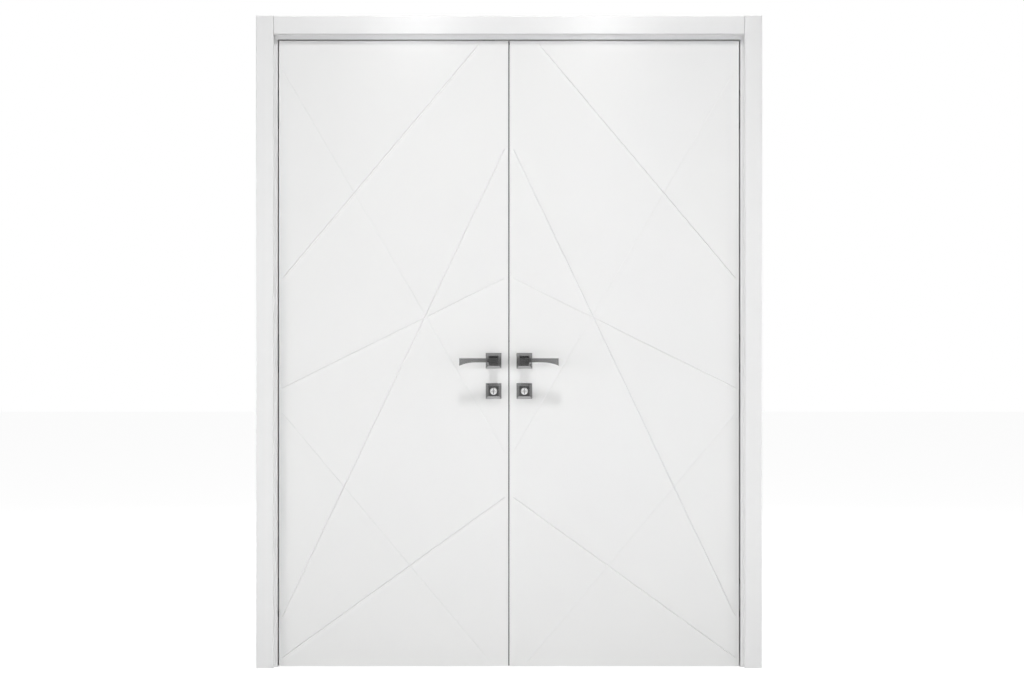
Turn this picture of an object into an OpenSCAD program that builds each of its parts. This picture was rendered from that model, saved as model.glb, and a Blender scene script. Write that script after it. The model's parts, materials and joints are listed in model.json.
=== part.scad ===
// Double interior door with its frame: two flush leaves with routed lines, jambs with stop
// strips and seals, casings on both faces, concealed hinges, lever handles, thumb turns,
// a mortise lock in the right leaf and driven bolts in the left leaf.
// Millimetres. X runs across the doorway to the viewer's right, Y runs from the front to
// the back and Z is up. The origin is the middle of the outline, at floor level.
// Every piece is drawn for the right leaf; a left piece is its mirror image.

/* [Leaves] */
// Width of one leaf
leaf_w = 746; // [650:1:900]
// Height of one leaf
leaf_h = 2032; // [1950:1:2300]
// Thickness of one leaf
leaf_t = 40; // [40:0.5:46]
// Rounding of a leaf's upright edges
arris_r = 2.5; // [1:0.1:3]

/* [Running gaps] */
// Gap between a leaf and its jamb
side_gap = 4; // [3:0.1:5]
// Gap between the two leaves
meeting_gap = 4; // [4:0.1:6]
// Gap above a leaf
head_gap = 4; // [3:0.1:6]
// Gap under a leaf
floor_gap = 4; // [3:0.1:12]
// Gap between a leaf's back and its stop
stop_gap = 4; // [3.8:0.1:6]

/* [Frame] */
// Thickness of a jamb
jamb_t = 46; // [46:1:60]
// Depth of a jamb from front to back
jamb_depth = 110; // [100:1:160]
// Thickness of a stop strip
stop_t = 12; // [10:0.5:16]
// Width of a seal's bulb
seal_w = 7; // [5:0.1:8]
// Reach of a seal's bulb towards the leaf
seal_reach = 3.4; // [2.5:0.1:3.5]
// Thickness of a seal's fin
seal_fin_t = 3; // [2:0.1:4]
// Length of a seal's fin inside its groove
seal_fin_l = 6; // [4:0.1:9]
// Thickness of the seal between the leaves
meeting_seal_t = 2; // [1.5:0.1:2.4]
// Distance of the meeting seal behind the leaf's face
meeting_seal_set = 4.5; // [4:0.1:5]
// Clearance between the meeting seal and the other leaf
meeting_seal_clear = 0.6; // [0.5:0.1:2]

/* [Casings] */
// Width of a side casing
casing_side_w = 57; // [50:1:90]
// Height of a head casing
casing_head_w = 60; // [50:1:90]
// Thickness of a casing
casing_t = 18; // [12:0.5:22]
// Rounding of a casing's long edges
casing_r = 4; // [1:0.1:6]
// Strip of side jamb left in sight
reveal_side = 11; // [8:0.5:16]
// Strip of head jamb left in sight
reveal_head = 14; // [8:0.5:18]
// Open joint between a head casing and a side casing
casing_joint = 1; // [0.5:0.1:2]

/* [Routed lines] */
// Plain margin between the ends of the lines and the leaf's edges
line_margin = 12; // [8:0.5:20]
// Depth of the long rising lines, which a right-angled bit cuts first
groove_rise_d = 2.6; // [2.3:0.1:3]
// Depth of the short rising line
groove_mid_d = 2.1; // [1.7:0.1:2.2]
// Depth of the falling lines, which stay fine and faint
groove_fall_d = 1.2; // [0.9:0.1:1.5]
// Line to the top: height at the hinge side
line_top_hinge = 1259; // [1000:1:1500]
// Line to the top: distance from the meeting edge at the top
line_top_in = 95; // [40:1:200]
// Long falling line: distance under the top at the hinge side
line_fall_hinge = 94; // [40:1:200]
// Long falling line: height at the meeting side
line_fall_meeting = 695; // [500:1:760]
// Short rising line: height at the hinge side
line_mid_hinge = 903; // [860:1:1000]
// Short rising line: height at the meeting side
line_mid_meeting = 1260; // [1150:1:1400]
// Long rising line: height at the hinge side
line_rise_hinge = 160; // [80:1:200]
// Long rising line: height at the meeting side
line_rise_meeting = 1679; // [1600:1:1800]
// Line to the bottom: height at the hinge side
line_foot_hinge = 822; // [700:1:880]
// Line to the bottom: distance from the meeting edge at the bottom
line_foot_in = 56; // [30:1:120]
// Lowest line: height at the hinge side
line_low_hinge = 27; // [10:1:60]
// Lowest line: height at the meeting side
line_low_meeting = 548; // [450:1:640]

/* [Concealed hinges] */
// Distance of the outer hinges from the leaf's ends
hinge_end = 220; // [150:1:350]
// Opening angle of a leaf
hinge_open = 105; // [90:1:105]
// Width of a hinge cup across the leaf's edge
hinge_w = 30; // [28:0.5:32]
// Length of a hinge cup along the leaf's edge
hinge_h = 130; // [122:1:160]
// Side wall of a hinge cup
cup_wall = 1.7; // [1.2:0.1:2]
// Floor of a hinge cup
cup_floor = 2; // [1:0.1:4]
// Clearance of a cup in its mortise
cup_fit = 0.2; // [0.1:0.05:0.4]
// Distance of a hinge pin behind the mouth of its cup
hinge_pin_in = 7; // [6:0.1:7.3]
// Distance of a hinge pin behind the middle of the leaf
hinge_pin_set = 2; // [1.6:0.1:4]
// Radius of a hinge pin
hinge_pin_r = 1.6; // [1.2:0.1:1.8]
// Width of a hinge link
link_w = 6.5; // [6:0.1:7]
// Thickness of a hinge link
link_t = 16; // [12:0.5:17]
// Clearance between stacked links
link_gap = 0.4; // [0.3:0.05:0.8]
// Clearance of a pin in a link's slot
slot_fit = 0.2; // [0.15:0.05:0.4]
// Metal left past the end of a link's slot
link_end = 1.6; // [1.2:0.1:3]

/* [Handles] */
// Distance of the handle axes from the meeting edge
backset = 48; // [44:0.5:60]
// Height of the lever axis above the floor
lever_z = 996; // [900:1:1100]
// Distance from the lever axis down to the turn axis
turn_drop = 98.5; // [90:0.5:110]
// Side of a square rose
rose_w = 51; // [48:0.5:56]
// Thickness of a rose
rose_t = 9; // [7:0.5:12]
// Side of the raised square on a rose
rose_top_w = 34; // [32:0.5:40]
// Height of a rose's upright rim
rose_rim = 4; // [2:0.5:5]
// Reach of a lever out from the leaf's face
lever_out = 60; // [52:1:70]
// Length of a lever from its axis to its tip
lever_reach = 110; // [100:1:130]
// Width of the block at a lever's root
lever_block_w = 28; // [24:0.5:32]
// Top edge of a lever above its axis
lever_top = 8.5; // [7:0.5:11]
// Underside of a lever's bar below its axis
lever_under = 4.5; // [3:0.5:6]
// Underside of a lever's block below its axis
lever_block_under = 16; // [13:0.5:18]
// Thickness of a lever's bar
lever_bar_t = 10; // [8:0.5:13]
// Extra depth of the flared tip
flare_drop = 11; // [6:0.5:14]
// Length of the flare
flare_l = 53; // [40:1:70]
// Radius of the inside bend between a lever's neck and its bar
lever_bend_r = 12; // [6:0.5:18]
// Gap between a turning piece and its rose
rose_gap = 0.4; // [0.3:0.05:1]
// Radius of a lever's collar
lever_collar_r = 10; // [8.5:0.1:11]
// Side of the lever's square spindle
lever_spindle_w = 8; // [7:0.5:9]
// Radius of a turn's collar
turn_collar_r = 7; // [6:0.1:8]
// Side of a turn's square spindle
turn_spindle_w = 6; // [5:0.5:7]
// Radius of a turn's knob
knob_r = 11.5; // [10:0.1:13]
// Length of a knob's straight rim
knob_rim = 5; // [3:0.5:8]
// Rise of a knob's dome
knob_dome = 4; // [2:0.1:6]
// Width of the wing on a knob
knob_wing_w = 4; // [3:0.1:6]
// Height of the wing above the dome
knob_wing_h = 3; // [2:0.1:6]
// Radius of a release button
release_r = 9; // [8:0.1:11]
// Length of a release button outside its rose
release_l = 4; // [3:0.1:6]
// Width of the coin slot
coin_w = 1.8; // [1.2:0.1:2.5]

/* [Lock and bolts] */
// Thickness of a face plate
forend_t = 3; // [2:0.1:4]
// Width of a face plate
forend_w = 22; // [18:0.5:23]
// Length of a face plate past the case at each end
forend_over = 20; // [15:1:40]
// Depth of a lock case behind its face plate
case_l = 75; // [74:1:90]
// Thickness of a lock case
case_t = 16; // [15:0.5:17]
// Sheet thickness of a lock case
case_wall = 1.5; // [1.2:0.1:2]
// Case below the turn axis
case_below = 38; // [37:1:50]
// Case above the lever axis
case_above = 54; // [52:1:70]
// Clearance of a case in its mortise
case_fit = 0.4; // [0.2:0.1:1]
// Radius of a lever hub where it runs in the case
hub_r = 9; // [8:0.1:9.5]
// Radius of a lever hub's flange
hub_flange_r = 10.5; // [10.4:0.1:11]
// Height of the latch above the lever axis
latch_rise = 34; // [32:0.5:36]
// Height of the latch bolt
latch_h = 26; // [22:0.5:27]
// Thickness of the latch bolt
latch_t = 11; // [9:0.5:11.5]
// Length of the latch bolt
latch_l = 50; // [40:1:60]
// Distance of the dead bolt below the turn axis
bolt_drop = 16; // [15.6:0.1:17]
// Height of the dead bolt
bolt_h = 24; // [20:0.5:24.5]
// Thickness of the dead bolt
bolt_t = 12; // [10:0.5:12]
// Length of the dead bolt's head
bolt_head_l = 29; // [24:0.5:29.5]
// Throw of the dead bolt
bolt_throw = 18; // [14:0.5:18.5]
// Clearance of a bolt in its window
window_fit = 0.5; // [0.3:0.1:0.8]
// Distance of a drawn bolt behind the face plate's front
bolt_set = 0.3; // [0.1:0.1:1]
// Throw of the top and bottom rods
rod_throw = 15.5; // [12:0.5:16]
// Radius of a rod
rod_r = 4; // [3:0.1:4.4]
// Distance of a rod from the turn axis
rod_off = 16; // [15.8:0.1:17]
// Radius of a crank disc
crank_r = 16; // [15:0.1:16.5]
// Thickness of a crank disc
crank_t = 6; // [5:0.1:6.2]
// Radius of a crank pin
crank_pin_r = 2; // [1.6:0.1:2.2]
// Radius of a crank's boss
crank_boss_r = 5.5; // [5.2:0.1:5.6]
// Clearance of a crank pin in its fork
fork_fit = 0.5; // [0.45:0.05:0.8]
// Thickness of a fork
fork_t = 5.6; // [4:0.1:5.8]
// Width of metal above and below a crank pin's slot
fork_lip = 3.5; // [3:0.1:5]
// Thickness of a rod guide
guide_t = 3; // [2:0.5:4]
// Length of a rod guide
guide_l = 40; // [30:1:44]
// Width of a rod guide
guide_w = 18; // [14:0.5:24]
// Clearance of a rod in a guide
rod_fit = 0.4; // [0.3:0.05:0.8]
// Depth of the hole above the keep
keep_hole = 28; // [22:1:34]
// Radial clearance of a running fit
running_fit = 0.05; // [0.02:0.01:0.1]

/* [Hidden] */
$fn = 64;
// Overrun of a cut past the face it opens
cut = 1;
// Places across the doorway
leaf_x0 = meeting_gap / 2;
leaf_x1 = leaf_x0 + leaf_w;
swing_x = leaf_x1 + side_gap / 2;
jamb_x = leaf_x1 + side_gap;
jamb_x1 = jamb_x + jamb_t;
stop_x = jamb_x - stop_t;
casing_x = jamb_x + reveal_side;
casing_x1 = casing_x + casing_side_w;
head_casing_x = casing_x - casing_joint;
axis_x = leaf_x0 + backset;
// Places from front to back, with the leaf's face at zero
leaf_mid = leaf_t / 2;
stop_y = leaf_t + stop_gap;
front_y = (lever_out - jamb_depth - casing_t) / 2;
// Heights above the floor
leaf_z1 = floor_gap + leaf_h;
head_z = leaf_z1 + head_gap;
casing_z = head_z + reveal_head;
casing_z1 = casing_z + casing_head_w;
turn_z = lever_z - turn_drop;
case_z0 = turn_z - case_below;
case_z1 = lever_z + case_above;
forend_h = case_z1 - case_z0 + 2 * forend_over;
forend_z = (case_z0 + case_z1) / 2;
latch_z = lever_z + latch_rise;
bolt_z = turn_z - bolt_drop;
hinge_heights = [floor_gap + hinge_end, floor_gap + leaf_h / 2, leaf_z1 - hinge_end];
// Hinge: both pins stand at one radius from the swing axis, so a link turns half as far as its leaf
pin_x = side_gap / 2 + hinge_pin_in;
pin_y = leaf_mid + hinge_pin_set;
pin_radius = norm([pin_x, pin_y]);
pin_spread = 2 * atan(pin_x / pin_y);
pin_near = 2 * pin_x;
pin_far = 2 * pin_radius * sin((pin_spread + hinge_open) / 2);
slot_r = hinge_pin_r + slot_fit;
link_l = pin_far + slot_r + link_end - link_w / 2;
link_pitch = link_t + link_gap;
link_count = 5;
cavity_w = hinge_w - 2 * cup_wall;
cavity_h = link_count * link_pitch + link_gap;
cavity_d = link_l + link_w / 2 - pin_x - side_gap / 2 + link_gap;
cup_d = cavity_d + cup_floor;
hinge_pin_l = (cavity_h + hinge_h - hinge_w) / 2 + link_t / 2;
// Lever
flare_r = (flare_l * flare_l + flare_drop * flare_drop) / (2 * flare_drop);
lever_low = lever_under + flare_drop;
spindle_in = lever_out / 2;
// Lock and bolts
case_y0 = leaf_mid - case_t / 2;
case_y1 = leaf_mid + case_t / 2;
case_in = case_t / 2 - case_wall;
fork_y = leaf_mid - case_in + window_fit;
crank_y = leaf_mid + case_in - window_fit / 2 - crank_t;
bolt_crank = bolt_throw / (2 * sin(45));
rod_crank = rod_throw / (2 * sin(45));
fork_half = crank_pin_r + fork_fit;
fork_in = crank_boss_r + 1;
fork_out = rod_crank + fork_half;
rod_start = crank_r - 3;

// Finishes
module leaf_paint() color([0.93, 0.93, 0.92]) children();
module frame_paint() color([0.91, 0.91, 0.91]) children();
module rubber() color([0.24, 0.24, 0.24]) children();
module nickel() color([0.56, 0.56, 0.57]) children();
module steel() color([0.68, 0.69, 0.70]) children();
module zinc() color([0.74, 0.74, 0.75]) children();

// Sides: a piece drawn from the leaf's face goes to the right, or to the left as a mirror image
module right() translate([0, front_y, 0]) children();
module left() mirror([1, 0, 0]) right() children();
// The back of a leaf and the back of the frame, as mirror images of the front
module leaf_back() translate([0, leaf_t, 0]) mirror([0, 1, 0]) children();
module frame_back() translate([0, jamb_depth, 0]) mirror([0, 1, 0]) children();

// Bar along X with round ends, its width along Y and its height along Z
module round_bar(length, w, h) {
    translate([0, -w / 2, -(h - w) / 2])
        cube([length, w, h - w]);
    for (end = [-1, 1])
        translate([0, 0, end * (h - w) / 2])
            rotate([0, 90, 0])
                cylinder(r = w / 2, h = length);
}

// Cylinder along Y from one depth to another
module round_y(r, y0, y1) {
    translate([0, y0, 0])
        rotate([-90, 0, 0])
            cylinder(r = r, h = y1 - y0);
}

// Square bar along Y from one depth to another
module square_y(w, y0, y1) {
    translate([-w / 2, y0, -w / 2])
        cube([w, y1 - y0, w]);
}

// Rectangle with four round corners
module round_rectangle(w, h, r) {
    translate([r, 0])
        square([w - 2 * r, h]);
    translate([0, r])
        square([w, h - 2 * r]);
    for (x = [r, w - r], y = [r, h - r])
        translate([x, y])
            circle(r = r);
}

// Frame

module side_jamb() {
    frame_paint()
        difference() {
            translate([jamb_x, 0, 0])
                cube([jamb_t, jamb_depth, head_z]);
            hinges()
                hinge_mortise();
        }
}

module left_jamb() left() side_jamb();
module right_jamb() right() side_jamb();

// Turns a piece drawn upright for the side so that it runs along X across the head
module across(half) {
    translate([-half, 0, 0])
        rotate([0, 90, 0])
            mirror([1, 0, 0])
                children();
}

module head_jamb() {
    frame_paint()
        right()
            difference() {
                translate([-jamb_x1, 0, head_z])
                    cube([2 * jamb_x1, jamb_depth, jamb_t]);
                mirror([1, 0, 0])
                    translate([axis_x + rod_off, leaf_mid, head_z])
                        keep_recess();
            }
}

// Groove for a seal's fin in a stop's front edge, at the middle of the strip
module seal_groove(length) {
    translate([(stop_t - seal_fin_t) / 2, stop_y - cut, -cut])
        cube([seal_fin_t, seal_fin_l + cut, length + 2 * cut]);
}

// Seal strip with a fin in the groove and a half-round bulb towards the leaf
module seal_strip(length) {
    rubber() {
        translate([(stop_t - seal_fin_t) / 2, stop_y, 0])
            cube([seal_fin_t, seal_fin_l, length]);
        translate([stop_t / 2, stop_y, 0])
            intersection() {
                scale([seal_w / 2 / seal_reach, 1, 1])
                    cylinder(r = seal_reach, h = length);
                translate([-seal_w, -seal_w, 0])
                    cube([2 * seal_w, seal_w, length]);
            }
    }
}

module side_stop() {
    frame_paint()
        translate([stop_x, 0, 0])
            difference() {
                translate([0, stop_y, 0])
                    cube([stop_t, jamb_depth - stop_y, head_z]);
                seal_groove(head_z);
            }
}

module left_stop() left() side_stop();
module right_stop() right() side_stop();

module head_stop() {
    frame_paint()
        right()
            translate([0, 0, head_z - stop_t])
                across(stop_x)
                    difference() {
                        translate([0, stop_y, 0])
                            cube([stop_t, jamb_depth - stop_y, 2 * stop_x]);
                        seal_groove(2 * stop_x);
                    }
}

module left_seal() left() translate([stop_x, 0, 0]) seal_strip(head_z - stop_t);
module right_seal() right() translate([stop_x, 0, 0]) seal_strip(head_z - stop_t);
module head_seal() right() translate([0, 0, head_z - stop_t]) across(stop_x) seal_strip(2 * stop_x);

// Face of a casing: its outer long edges are rounded
module casing_board(w, length) {
    linear_extrude(length) {
        translate([0, casing_r - casing_t])
            square([w, casing_t - casing_r]);
        translate([casing_r, -casing_t])
            square([w - 2 * casing_r, casing_r]);
        for (x = [casing_r, w - casing_r])
            translate([x, casing_r - casing_t])
                circle(r = casing_r);
    }
}

module side_casing() {
    frame_paint()
        translate([casing_x, 0, 0])
            casing_board(casing_side_w, casing_z1);
}

module head_casing() {
    frame_paint()
        translate([0, 0, casing_z])
            across(head_casing_x)
                casing_board(casing_head_w, 2 * head_casing_x);
}

module front_left_casing() left() side_casing();
module front_right_casing() right() side_casing();
module front_head_casing() right() head_casing();
module back_left_casing() left() frame_back() side_casing();
module back_right_casing() right() frame_back() side_casing();
module back_head_casing() right() frame_back() head_casing();

// Plate on the underside of the head jamb that keeps the top rod
module keep_recess() {
    translate([-guide_l / 2, -guide_w / 2, -cut])
        cube([guide_l, guide_w, guide_t + cut]);
    cylinder(r = rod_r + 2 * rod_fit, h = keep_hole);
}

module head_keep() {
    steel()
        left()
            translate([axis_x + rod_off, leaf_mid, head_z])
                rod_plate();
}

// Flat plate with one hole for a rod
module rod_plate() {
    difference() {
        translate([-guide_l / 2, -guide_w / 2, 0])
            cube([guide_l, guide_w, guide_t]);
        translate([0, 0, -cut])
            cylinder(r = rod_r + rod_fit, h = guide_t + 2 * cut);
    }
}

// Concealed hinges, drawn around the swing axis with the jamb on the +X side

// Repeats a hinge piece at each hinge height
module hinges() {
    for (z = hinge_heights)
        translate([swing_x, 0, z])
            children();
}

module hinge_mortise() {
    translate([side_gap / 2 - cut, leaf_mid, 0])
        round_bar(cup_d + cut + cup_fit, hinge_w + 2 * cup_fit, hinge_h + 2 * cup_fit);
}

module hinge_cup() {
    zinc()
        difference() {
            translate([side_gap / 2, leaf_mid, 0])
                round_bar(cup_d, hinge_w, hinge_h);
            translate([side_gap / 2 - cut, leaf_mid - cavity_w / 2, -cavity_h / 2])
                cube([cavity_d + cut, cavity_w, cavity_h]);
            hinge_pin_shape();
        }
}

module hinge_pin_shape() {
    translate([pin_x, pin_y, -hinge_pin_l / 2])
        cylinder(r = hinge_pin_r, h = hinge_pin_l);
}

module hinge_pin() {
    steel()
        hinge_pin_shape();
}

// One link: it turns on its own pin and its slot slides on the other pin
module hinge_link(level) {
    steel()
        translate([pin_x, pin_y, level * link_pitch - cavity_h / 2 + link_gap])
            difference() {
                union() {
                    translate([-link_l, -link_w / 2, 0])
                        cube([link_l, link_w, link_t]);
                    for (x = [0, -link_l])
                        translate([x, 0, 0])
                            cylinder(r = link_w / 2, h = link_t);
                }
                translate([0, 0, -cut])
                    cylinder(r = hinge_pin_r + running_fit, h = link_t + 2 * cut);
                translate([-pin_far, -slot_r, -cut])
                    cube([pin_far - pin_near, 2 * slot_r, link_t + 2 * cut]);
                for (x = [-pin_near, -pin_far])
                    translate([x, 0, -cut])
                        cylinder(r = slot_r, h = link_t + 2 * cut);
            }
}

module frame_links() {
    hinges()
        for (level = [0, 2, 4])
            hinge_link(level);
}

module leaf_links() {
    hinges()
        mirror([1, 0, 0])
            for (level = [1, 3])
                hinge_link(level);
}

module left_frame_cups() left() hinges() hinge_cup();
module right_frame_cups() right() hinges() hinge_cup();
module left_frame_pins() left() hinges() hinge_pin();
module right_frame_pins() right() hinges() hinge_pin();
module left_frame_links() left() frame_links();
module right_frame_links() right() frame_links();
module left_leaf_links() left() leaf_links();
module right_leaf_links() right() leaf_links();
module left_leaf_cups() left() hinges() mirror([1, 0, 0]) hinge_cup();
module right_leaf_cups() right() hinges() mirror([1, 0, 0]) hinge_cup();
module left_leaf_pins() left() hinges() mirror([1, 0, 0]) hinge_pin();
module right_leaf_pins() right() hinges() mirror([1, 0, 0]) hinge_pin();

// Leaves

// Ends of the routed lines on the plain margin, measured from the leaf's meeting edge and its bottom
function on_hinge_side(h) = [leaf_w - line_margin, h];
function on_meeting_side(h) = [line_margin, h];
function on_top(d) = [d, leaf_h - line_margin];
function on_bottom(d) = [d, line_margin];

// One routed line in the front face, whose ends run out at the slope of the bit
module routed_line(depth, from, to) {
    run = to - from;
    length = norm(run);
    translate([leaf_x0 + from.x, 0, floor_gap + from.y])
        rotate([0, -atan2(run.y, run.x), 0])
            intersection() {
                translate([-depth, 0, 0])
                    rotate([90, 0, 90])
                        linear_extrude(length + 2 * depth)
                            polygon([[depth, 0], [-cut, depth + cut], [-cut, -depth - cut]]);
                linear_extrude(2 * (depth + 2 * cut), center = true)
                    polygon([
                        [-cut, -cut], [length + cut, -cut],
                        [length - depth - cut, depth + cut], [depth + cut, depth + cut]
                    ]);
            }
}

module routed_lines() {
    routed_line(groove_fall_d, on_hinge_side(leaf_h - line_fall_hinge), on_meeting_side(line_fall_meeting));
    routed_line(groove_fall_d, on_hinge_side(line_foot_hinge), on_bottom(line_foot_in));
    routed_line(groove_rise_d, on_hinge_side(line_top_hinge), on_top(line_top_in));
    routed_line(groove_rise_d, on_hinge_side(line_rise_hinge), on_meeting_side(line_rise_meeting));
    routed_line(groove_rise_d, on_hinge_side(line_low_hinge), on_meeting_side(line_low_meeting));
    routed_line(groove_mid_d, on_hinge_side(line_mid_hinge), on_meeting_side(line_mid_meeting));
}

// Blank of a leaf with its routed lines, hinge mortises, lock mortise and handle bores
module leaf_body() {
    difference() {
        translate([leaf_x0, 0, floor_gap])
            linear_extrude(leaf_h)
                round_rectangle(leaf_w, leaf_t, arris_r);
        routed_lines();
        leaf_back()
            routed_lines();
        hinges()
            mirror([1, 0, 0])
                hinge_mortise();
        translate([leaf_x0, case_y0 - case_fit, case_z0 - case_fit])
            cube([forend_t + case_l + case_fit, case_t + 2 * case_fit, case_z1 - case_z0 + 2 * case_fit]);
        translate([leaf_x0 - cut, leaf_mid, forend_z])
            round_bar(forend_t + cut, forend_w, forend_h);
        translate([axis_x, 0, lever_z])
            round_y(lever_collar_r, -cut, leaf_t + cut);
        translate([axis_x, 0, turn_z])
            round_y(turn_collar_r, -cut, leaf_t + cut);
    }
}

module right_leaf() leaf_paint() right() leaf_body();

module left_leaf() {
    leaf_paint()
        left()
            difference() {
                leaf_body();
                translate([axis_x + rod_off, leaf_mid, case_z1])
                    cylinder(r = rod_r + 2 * rod_fit, h = leaf_h);
                translate([axis_x - rod_off, leaf_mid, 0])
                    cylinder(r = rod_r + 2 * rod_fit, h = case_z0);
                translate([axis_x + rod_off - guide_l / 2, leaf_mid - guide_w / 2, leaf_z1 - guide_t])
                    cube([guide_l, guide_w, guide_t + cut]);
                translate([axis_x - rod_off - guide_l / 2, leaf_mid - guide_w / 2, floor_gap - cut])
                    cube([guide_l, guide_w, guide_t + cut]);
                translate([leaf_x0 - cut, meeting_seal_set, floor_gap - cut])
                    cube([seal_fin_l + cut, meeting_seal_t, leaf_h + 2 * cut]);
            }
}

// Flat fin in a kerf of the left leaf's meeting edge, which closes the gap between the leaves
module meeting_seal() {
    rubber()
        left()
            translate([leaf_x0 - meeting_gap + meeting_seal_clear, meeting_seal_set, floor_gap])
                cube([meeting_gap - meeting_seal_clear + seal_fin_l, meeting_seal_t, leaf_h]);
}

// Handles

// Square rose with sloping sides, a raised middle and a bore for a collar
module rose(bore_r) {
    slope = [[-rose_w / 2, 0], [-rose_w / 2, -rose_rim], [-rose_top_w / 2, -rose_t],
        [rose_top_w / 2, -rose_t], [rose_w / 2, -rose_rim], [rose_w / 2, 0]];
    nickel()
        difference() {
            intersection() {
                translate([0, 0, -rose_w / 2])
                    linear_extrude(rose_w)
                        polygon(slope);
                rotate([0, 90, 0])
                    translate([0, 0, -rose_w / 2])
                        linear_extrude(rose_w)
                            polygon(slope);
            }
            round_y(bore_r, -rose_t - cut, cut);
        }
}

// A pair of pieces on the front and the back of a leaf
module both_faces() {
    children();
    leaf_back()
        children();
}

module lever_roses() both_faces() translate([axis_x, 0, lever_z]) rose(lever_collar_r);
module turn_roses() both_faces() translate([axis_x, 0, turn_z]) rose(turn_collar_r);

module left_lever_roses() left() lever_roses();
module right_lever_roses() right() lever_roses();
module left_turn_roses() left() turn_roses();
module right_turn_roses() right() turn_roses();

// Outline of a lever from the front: a block at the root and a bar that flares at its tip
module lever_front_outline() {
    translate([-lever_block_w / 2, -lever_block_under])
        square([lever_block_w, lever_block_under + lever_top]);
    difference() {
        translate([0, -lever_low])
            square([lever_reach, lever_low + lever_top]);
        translate([-cut, -lever_low - cut])
            square([lever_reach - flare_l + cut, flare_drop + cut]);
        translate([lever_reach - flare_l, -lever_under - flare_r])
            circle(r = flare_r);
    }
}

// Outline of a lever from above: the neck stands off the rose and the bar runs along the leaf
module lever_top_outline() {
    neck = lever_out - rose_t - rose_gap;
    translate([-lever_block_w / 2, -lever_out])
        square([lever_block_w, neck]);
    translate([0, -lever_out])
        square([lever_reach, lever_bar_t]);
    difference() {
        translate([lever_block_w / 2 - cut, -lever_out + lever_bar_t - cut])
            square([lever_bend_r + cut, lever_bend_r + cut]);
        translate([lever_block_w / 2 + lever_bend_r, -lever_out + lever_bar_t + lever_bend_r])
            circle(r = lever_bend_r);
    }
}

module lever() {
    nickel()
        translate([axis_x, 0, lever_z])
            difference() {
                union() {
                    intersection() {
                        rotate([90, 0, 0])
                            linear_extrude(lever_out + cut)
                                lever_front_outline();
                        translate([0, 0, -lever_reach / 2])
                            linear_extrude(lever_reach)
                                lever_top_outline();
                    }
                    round_y(lever_collar_r - running_fit, -rose_t - rose_gap - cut, -cut);
                }
                square_y(lever_spindle_w + 2 * running_fit, -spindle_in, 0);
            }
}

module lever_spindle() {
    steel()
        translate([axis_x, 0, lever_z])
            square_y(lever_spindle_w, -spindle_in, leaf_t + spindle_in);
}

// Hub in the lock case that the lever's spindle turns
module lever_hub() {
    steel()
        translate([axis_x, 0, lever_z])
            difference() {
                union() {
                    round_y(hub_r, case_y0, case_y1);
                    round_y(hub_flange_r, leaf_mid - case_in + window_fit, leaf_mid + case_in - window_fit);
                }
                square_y(lever_spindle_w + 2 * running_fit, case_y0 - cut, case_y1 + cut);
            }
}

module left_front_lever() left() lever();
module right_front_lever() right() lever();
module left_back_lever() left() leaf_back() lever();
module right_back_lever() right() leaf_back() lever();
module left_lever_spindle() left() lever_spindle();
module right_lever_spindle() right() lever_spindle();
module left_lever_hub() left() lever_hub();
module right_lever_hub() right() lever_hub();

// Round knob with a domed face, a wing for the fingers and its own square spindle
module thumb_turn() {
    knob_y = -rose_t - rose_gap;
    dome_r = (knob_r * knob_r + knob_dome * knob_dome) / (2 * knob_dome);
    dome_y = knob_y - knob_rim - knob_dome + dome_r;
    wing_y = knob_y - knob_rim - knob_dome - knob_wing_h;
    nickel()
        translate([axis_x, 0, turn_z]) {
            intersection() {
                round_y(knob_r, knob_y - knob_rim - knob_dome - cut, knob_y);
                translate([0, dome_y, 0])
                    sphere(r = dome_r);
            }
            intersection() {
                translate([-knob_wing_w / 2, wing_y, -knob_r])
                    cube([knob_wing_w, knob_y - wing_y - 1, 2 * knob_r]);
                round_y(knob_r - 1, wing_y, knob_y);
            }
            round_y(turn_collar_r - running_fit, knob_y - cut, -cut);
            square_y(turn_spindle_w, -2 * cut, leaf_t + rose_t / 2);
        }
}

// Release button on the back of a leaf, with a slot for a coin
module release() {
    button_y = -rose_t - rose_gap;
    nickel()
        leaf_back()
            translate([axis_x, 0, turn_z])
                difference() {
                    union() {
                        round_y(release_r, button_y - release_l, button_y);
                        round_y(turn_collar_r - running_fit, button_y - cut, -cut);
                    }
                    square_y(turn_spindle_w + 2 * running_fit, -rose_t / 2 - running_fit, 0);
                    translate([-release_r, button_y - release_l - cut, -coin_w / 2])
                        cube([2 * release_r, coin_w + cut, coin_w]);
                }
}

module left_thumb_turn() left() thumb_turn();
module right_thumb_turn() right() thumb_turn();
module left_release() left() release();
module right_release() right() release();

// Lock and bolts

// Face plate in the meeting edge, with a window for the latch and one for the dead bolt
module face_plate() {
    steel()
        difference() {
            translate([leaf_x0, leaf_mid, forend_z])
                round_bar(forend_t, forend_w, forend_h);
            bolt_window(latch_z, latch_t, latch_h);
            bolt_window(bolt_z, bolt_t, bolt_h);
        }
}

module bolt_window(z, t, h) {
    translate([leaf_x0 - cut, leaf_mid - t / 2 - window_fit, z - h / 2 - window_fit])
        cube([forend_t + 2 * cut, t + 2 * window_fit, h + 2 * window_fit]);
}

module right_face_plate() right() face_plate();
module left_strike_plate() left() face_plate();

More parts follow.
